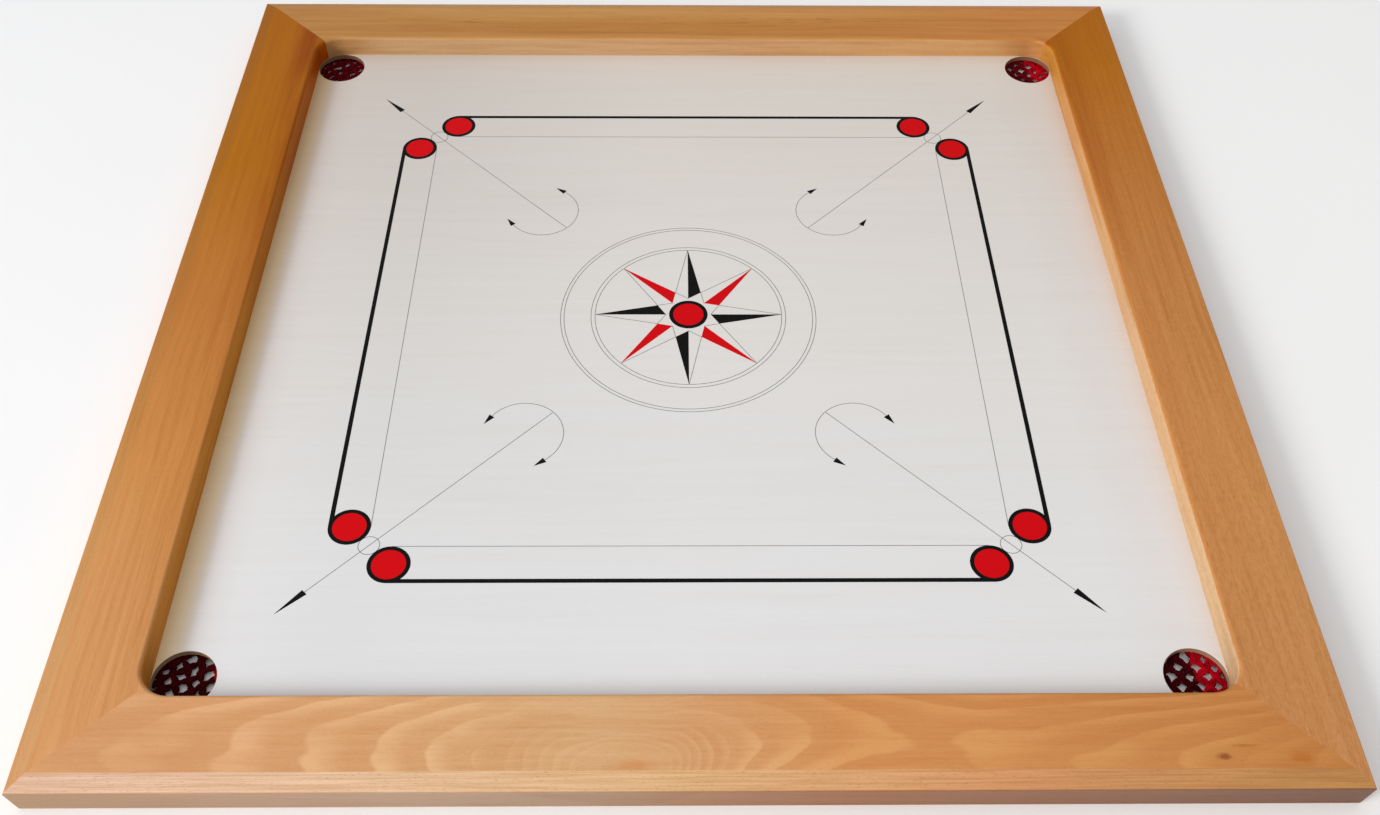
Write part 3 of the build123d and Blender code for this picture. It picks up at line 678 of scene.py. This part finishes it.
BATTEN_COLOURS = {"light": srgb(222, 194, 150), "dark": srgb(186, 146, 98)}
MATERIALS = {
    "rail_front": rail_wood(
        "beech_front", "X", light=srgb(230, 184, 136), mid=srgb(214, 162, 112),
        # the side table is painted shade on the outer face; the bevel lines carry a painted
        # sheen at the left
        dark=srgb(200, 142, 90), seed=1.7, fleck=0.14, tint=front_tint, side=FRONT_SIDE_PAINTED_LIGHT,
        bevel_lines=(FRONT_BEVEL_PALE, FRONT_BEVEL_DARK)),
    "rail_left": rail_wood(
        "beech_left", "Y", light=srgb(216, 158, 104), mid=srgb(204, 142, 86),
        dark=srgb(184, 120, 64), seed=4.2, fleck=0.18, ring_mm=9.0, sheen=0.12,
        tint=side_light_and_tint(LEFT_PAINTED_LIGHT, inner=(0.78, 0.61, 0.28), corner=(0.82, 0.63, 0.3)),
        # the inner wall gets painted light and shade, the chamfer painted shade
        wall_painted_light=LEFT_WALL_PAINTED_LIGHT, bevel_painted_light=[(-440, (0.82, 0.86, 0.86)), (440, (0.78, 0.82, 0.84))]),
    "rail_right": rail_wood(
        "beech_right", "Y", light=srgb(216, 160, 108), mid=srgb(202, 142, 90),
        dark=srgb(180, 118, 64), seed=9.4, fleck=0.22, ring_mm=7.0, wavy=0.30, sheen=0.12,
        tint=side_light_and_tint(RIGHT_PAINTED_LIGHT, inner=(0.92, 0.78, 0.60)),
        # the inner wall and the chamfer get painted light
        wall_painted_light=RIGHT_WALL_PAINTED_LIGHT, bevel_painted_light=[(-440, (1.22, 1.22, 1.20)), (440, (1.25, 1.28, 1.25))]),
    "rail_back": rail_wood(
        "beech_back", "X", light=srgb(204, 152, 98), mid=srgb(190, 134, 80),
        dark=srgb(168, 108, 58), seed=13.1, fleck=0.16, ring_mm=9.0, tint=back_tint,
        wall_painted_light=BACK_WALL_PAINTED_LIGHT),
    "playing_panel": birch_panel("birch_ply"),
    "marks_black": ink("ink_black", (0.0028, 0.0027, 0.0032), speck=srgb(34, 31, 32)),
    "marks_red": ink("ink_red", srgb(212, 0, 12), speck=srgb(186, 2, 14)),
    "marks_grey": ink("ink_grey", srgb(120, 120, 121), speck=srgb(158, 156, 154)),
    "batten_long": plain_wood("batten_wood_x", "X", **BATTEN_COLOURS, seed=2.0),
    "panel_screws": plated(
        "zinc", (0.62, 0.62, 0.60), tarnish=(0.42, 0.41, 0.38), rough=0.26),
    "net_tacks": plated(
        "brass_tack", (0.72, 0.52, 0.22), tarnish=(0.42, 0.27, 0.10), rough=0.24),
}
BATTEN_Y = plain_wood("batten_wood_y", "Y", **BATTEN_COLOURS, seed=5.0)
BISCUIT = plain_wood("biscuit_wood", "X", light=srgb(196, 152, 106), dark=srgb(150, 106, 66),
                     seed=8.0, ring_mm=1.2)
CORD = net_cord("net_cord")
TAPE = net_tape("net_tape")


def assign(node, material):
    slots = NODES[node].data.materials
    slots.clear()
    slots.append(material)


for key, material in MATERIALS.items():
    assign(key, material)
assign("batten_screws", MATERIALS["panel_screws"])
for key in ("batten_short_front", "batten_short_back"):
    assign(key, BATTEN_Y)
for key in NODES:
    if key.startswith("mitre_biscuit"):
        assign(key, BISCUIT)


# ======================================================================= nets
STRAND_R = 1.34 * MM       # one strand of the doubled cord
STRAND_SIDES = 7
PAIR = 1.42 * MM           # strand centre off the cord's centre line
PITCH = 9.4 * MM           # mesh of the net
NET_LOW = 0.62 * MM
NET_HIGH = 4.80 * MM       # a little under the playing panel
FLOOR_Z = NET_LOW + STRAND_R + 0.35 * MM   # centre line of cord lying flat
KNOTS_WITHIN = 24.6 * MM   # radius that holds the knots
CORD_ENDS = 24.9 * MM      # radius where the climbing cords stop
CORD_END_Z = 3.1 * MM
KNOT_LOOPS = ((0.15, 2.0), (1.05, 1.7), (-0.95, 1.75))   # tilt in radians, radius in mm
HEAD_ROUNDS = ((24.3, 2.25), (25.7, 2.35))               # radius and height in mm
TAPE_INNER = 23.6 * MM
TAPE_OUTER = 30.7 * MM
TAPE_LOW = 3.82 * MM
TAPE_TOP = 4.96 * MM
NET_SEEDS = {"front_left": 11, "front_right": 23, "back_right": 37, "back_left": 53}


class Mesher:
    """Collects one mesh, with per-vertex values for the cord and tape shaders."""

    def __init__(self):
        self.verts, self.faces = [], []
        self.values = {"turn": [], "run": [], "tint": []}

    def vertex(self, place, **values):
        self.verts.append(place)
        for label, value in values.items():
            self.values[label].append(value)

    def tube(self, points, radius, tint, closed=False, start=0.0):
        count = len(points)
        tangents = []
        for i in range(count):
            before = points[(i - 1) % count] if closed or i > 0 else points[i]
            after = points[(i + 1) % count] if closed or i < count - 1 else points[i]
            tangents.append((after - before).normalized())
        normal = tangents[0].orthogonal().normalized()
        base, run = len(self.verts), start
        for i, (point, tangent) in enumerate(zip(points, tangents)):
            normal = (normal - tangent * normal.dot(tangent)).normalized()
            side = tangent.cross(normal)
            if i:
                run += (point - points[i - 1]).length
            is_end = not closed and i in (0, count - 1)
            here = radius * 0.55 if is_end else radius
            for k in range(STRAND_SIDES):
                angle = 2 * math.pi * k / STRAND_SIDES
                offset = normal * math.cos(angle) * here + side * math.sin(angle) * here
                self.vertex(point + offset, turn=k / STRAND_SIDES, run=run, tint=tint)
        rings = [[base + i * STRAND_SIDES + k for k in range(STRAND_SIDES)]
                 for i in range(count)]
        for i in range(count if closed else count - 1):
            ring, following = rings[i], rings[(i + 1) % count]
            for k in range(STRAND_SIDES):
                k2 = (k + 1) % STRAND_SIDES
                self.faces.append((ring[k], ring[k2], following[k2], following[k]))
        if not closed:
            self.faces.append(tuple(reversed(rings[0])))
            self.faces.append(tuple(rings[-1]))

    def build(self, name, material, node):
        """Makes the object, which stands in for the given CAD node."""
        mesh = bpy.data.meshes.new(name)
        mesh.from_pydata([tuple(place) for place in self.verts], [], self.faces)
        for label, values in self.values.items():
            mesh.attributes.new(label, "FLOAT", "POINT").data.foreach_set("value", values)
        mesh.shade_smooth()
        mesh.materials.append(material)
        made = bpy.data.objects.new(name, mesh)
        SCENE.collection.objects.link(made)
        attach(made, "root")
        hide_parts(node)


def bag_z(x, y, seed):
    """Height of the cord's centre line: a bag lying slack on the table."""
    rise = max(0.0, min(1.0, (math.hypot(x, y) - 15.5 * MM) / (9.0 * MM)))
    rise = rise * rise * (3 - 2 * rise)
    slack = noise.noise(Vector((x * 95 + seed, y * 95, seed * 1.7)))
    return FLOOR_Z + max(0.0, 0.7 + slack) * 0.55 * MM + rise * 0.9 * MM


def lay_cord(mesher, rng, cx, cy, start, end):
    """A doubled cord from start to end, slack and lightly twisted."""
    tint = rng.uniform(0.2, 0.9)
    span = end - start
    length = span.length
    side = Vector((-span.y, span.x, 0)).normalized()
    bow = rng.uniform(-0.9, 0.9) * MM
    steps = max(6, int(length / (0.8 * MM)))
    phase, twist = rng.uniform(0, 6.28), rng.uniform(0.7, 1.3) * math.pi
    centre = []
    for s in range(steps + 1):
        part = s / steps
        place = start.lerp(end, part) + side * bow * math.sin(math.pi * part)
        place.z = max(place.z, FLOOR_Z - 0.05 * MM)
        centre.append(place)
    for strand in (0.0, math.pi):
        points = []
        for s, place in enumerate(centre):
            part = s / steps
            angle = phase + strand + twist * part * length / PITCH
            spread = PAIR * (0.55 + 0.45 * math.sin(math.pi * part))
            offset = side * math.cos(angle) * spread
            z = place.z + math.sin(angle) * spread * 0.45
            z = min(max(z, NET_LOW + STRAND_R), NET_HIGH - STRAND_R)
            points.append(Vector((cx + place.x + offset.x, cy + place.y + offset.y, z)))
        mesher.tube(points, STRAND_R, tint, start=rng.uniform(0, 0.02))


def tie_knot(mesher, rng, cx, cy, place):
    """A sheet-bend knot: three tight loops of one strand round the crossing."""
    tint = rng.uniform(0.2, 0.9)
    spin = rng.uniform(0, math.pi)
    for k, (tilt, radius) in enumerate(KNOT_LOOPS):
        turned = Matrix.Rotation(spin + k * 2.1, 3, "Z") @ Matrix.Rotation(tilt, 3, "X")
        points = []
        for s in range(14):
            angle = 2 * math.pi * s / 14
            loop = turned @ Vector((math.cos(angle) * radius * MM,
                                    math.sin(angle) * radius * MM * 0.8, 0))
            z = max(place.z + 0.35 * MM + loop.z, NET_LOW + STRAND_R * 0.9)
            z = min(z, NET_HIGH - STRAND_R)
            points.append(Vector((cx + place.x + loop.x, cy + place.y + loop.y, z)))
        mesher.tube(points, STRAND_R * 0.9, tint, closed=True)


def head_cord(mesher, cx, cy):
    """The last rounds of cord, gathered just inside the tape."""
    for k, (radius, height) in enumerate(HEAD_ROUNDS):
        points = []
        for s in range(120):
            angle = 2 * math.pi * s / 120
            wave = angle * 24 + k * math.pi
            reach = radius * MM + math.sin(wave) * 0.5 * MM
            points.append(Vector((cx + math.cos(angle) * reach, cy + math.sin(angle) * reach,
                                  height * MM + math.cos(wave) * 0.35 * MM)))
        mesher.tube(points, 1.0 * MM, tint=0.5, closed=True)


def make_net(corner, node, cx, cy, seed):
    """Knots on a skewed grid, joined by cords, with loose cords up to the tape."""
    rng = random.Random(seed)
    mesher = Mesher()
    heading = rng.uniform(0.2, 0.9)
    step_i, step_j = (Vector((math.cos(angle), math.sin(angle), 0)) * PITCH
                      for angle in (heading, heading + 1.42))
    shift = Vector((rng.uniform(-0.5, 0.5) * PITCH, rng.uniform(-0.5, 0.5) * PITCH, 0))
    knots = {}
    for i in range(-5, 6):
        for j in range(-5, 6):
            place = step_i * i + step_j * j + shift
            place += Vector((rng.uniform(-1, 1), rng.uniform(-1, 1), 0)) * 1.5 * MM
            if math.hypot(place.x, place.y) < KNOTS_WITHIN:
                knots[(i, j)] = Vector((place.x, place.y, bag_z(place.x, place.y, seed)))

    for (i, j), place in knots.items():
        for di, dj in ((1, 0), (0, 1)):
            neighbour = knots.get((i + di, j + dj))
            if neighbour is not None:
                lay_cord(mesher, rng, cx, cy, place, neighbour)
        for di, dj in ((1, 0), (0, 1), (-1, 0), (0, -1)):
            if (i + di, j + dj) not in knots:
                # this cord climbs to the tape at the mouth of the net
                outward = (step_i * di + step_j * dj).normalized()
                end = place.copy()
                while math.hypot(end.x, end.y) < CORD_ENDS:
                    end += outward * 0.3 * MM
                if (end - place).length > 2.0 * MM:
                    end.z = CORD_END_Z
                    lay_cord(mesher, rng, cx, cy, place, end)
        tie_knot(mesher, rng, cx, cy, place)
    head_cord(mesher, cx, cy)
    mesher.build(f"net_cord_{corner}", CORD, node)


def make_tape(corner, node, cx, cy):
    """A flat woven ring with a softly scalloped edge, under the panel."""
    mesher = Mesher()
    cols, rows = 160, 6
    for level in (TAPE_LOW, TAPE_TOP):
        for c in range(cols):
            angle = 2 * math.pi * c / cols
            outer = TAPE_OUTER + 0.25 * MM * math.cos(angle * 40)
            for r in range(rows + 1):
                part = r / rows
                radius = TAPE_INNER + (outer - TAPE_INNER) * part
                z = level
                if level == TAPE_LOW:
                    z += max(0.0, (0.10 * MM) * math.sin(angle * 32 + part * 3))
                place = Vector((cx + math.cos(angle) * radius,
                                cy + math.sin(angle) * radius, z))
                mesher.vertex(place, turn=angle * 30 / (2 * math.pi) * 3, run=part * 6,
                              tint=0.5)
    stride = rows + 1
    top = cols * stride
    for c in range(cols):
        here, there = c * stride, (c + 1) % cols * stride
        for r in range(rows):
            a, b = here + r, there + r
            mesher.faces.append((a, a + 1, b + 1, b))
            mesher.faces.append((top + a, top + b, top + b + 1, top + a + 1))
        mesher.faces.append((here, there, top + there, top + here))
        a, b = here + rows, there + rows
        mesher.faces.append((top + a, top + b, b, a))
    mesher.build(f"net_tape_{corner}", TAPE, node)


for corner, seed in NET_SEEDS.items():
    node = f"pocket_net_{corner}"
    low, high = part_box(node)
    cx, cy = (low.x + high.x) / 2, (low.y + high.y) / 2
    make_net(corner, node, cx, cy, seed)
    make_tape(corner, node, cx, cy)


# ====================================================================== stage
def floor_material():
    tree = Surface("stage_floor")
    position = tree.coords()
    cloud = position.scaled(3.0).noise(detail=3.0)
    colour = tree.mix(cloud, (0.95, 0.95, 0.95), (0.92, 0.92, 0.92))
    # painted light: the floor is painted brighter to the right, where the key light is weaker
    floor_painted_light = (position.split()[0] * 1000.0).along(
        [(-900, (0.94, 0.95, 0.97)), (900, (1.05, 1.05, 1.05))])
    return tree.finish(Base_Color=tree.shade(colour, floor_painted_light), Roughness=0.85,
                       Specular_IOR_Level=0.1)


def make_floor():
    bpy.ops.mesh.primitive_circle_add(vertices=160, radius=5.2, fill_type="NGON",
                                      location=(0, 0, -0.0002))
    floor = bpy.context.object
    floor.name = "stage_floor"
    floor.data.materials.append(floor_material())


def area_light(name, place, target, size, power, colour):
    data = bpy.data.lights.new(name, "AREA")
    data.shape = "RECTANGLE"
    data.size = data.size_y = size
    data.energy = power
    data.color = colour
    light = bpy.data.objects.new(name, data)
    light.location = place
    aim = Vector(target) - Vector(place)
    light.rotation_euler = aim.to_track_quat("-Z", "Y").to_euler()
    SCENE.collection.objects.link(light)


def make_world():
    """White light, strongest from overhead and a little to the front left."""
    world = bpy.data.worlds.new("studio")
    SCENE.world = world
    world.use_nodes = True
    tree = Tree(world.node_tree)
    background = tree.nodes["Background"]
    direction = tree.make("TexCoord", {}, "Generated")
    facing = tree.make("VectorMath", {0: direction, 1: (-0.34, -0.18, 0.92)}, "Value",
                       operation="DOT_PRODUCT")
    glow = facing.ease(-0.1, 0.95, low=0.20, high=0.86)
    # the camera itself sees an even pale backdrop above the floor
    seen = tree.make("LightPath", {}, "Is Camera Ray")
    strength = tree.make("Mix", {"Factor": seen, "A": glow, "B": 0.88}, "Result",
                         data_type="FLOAT")
    tree.put(background.inputs[0], (1.0, 1.0, 1.0))
    tree.put(background.inputs[1], strength)


def make_camera(place_mm, lens_mm, pitch, yaw, roll):
    """Angles in degrees: pitch looks down, yaw turns to +x, roll is about the view."""
    pitch, yaw, roll = (math.radians(angle) for angle in (pitch, yaw, roll))
    place = Vector(place_mm) * MM
    forward = Vector((math.sin(yaw) * math.cos(pitch), math.cos(yaw) * math.cos(pitch),
                      -math.sin(pitch)))
    level_right = Vector((math.cos(yaw), -math.sin(yaw), 0.0))
    level_up = level_right.cross(forward)
    right = level_right * math.cos(roll) + level_up * math.sin(roll)
    up = level_up * math.cos(roll) - level_right * math.sin(roll)
    data = bpy.data.cameras.new("photo_camera")
    data.sensor_width = 36.0
    data.lens = lens_mm
    data.clip_start = 0.02
    camera = bpy.data.objects.new("photo_camera", data)
    rows = [(right[i], up[i], -forward[i], place[i]) for i in range(3)]
    camera.matrix_world = Matrix((*rows, (0, 0, 0, 1)))
    SCENE.collection.objects.link(camera)
    SCENE.camera = camera


make_floor()
area_light("key", place=(-3.50, -2.30, 2.30), target=(0.0, -0.05, 0), size=1.5, power=142,
           colour=(1.0, 0.985, 0.96))
make_world()
make_camera(place_mm=(-12.90, -811.15, 832.34 + SURFACE_MM), lens_mm=35.7576522,
            pitch=49.6159, yaw=1.0877, roll=0.7910)

SCENE.view_settings.view_transform = "Standard"
SCENE.view_settings.look = "None"
SCENE.view_settings.exposure = 0.0

bpy.context.view_layer.update()
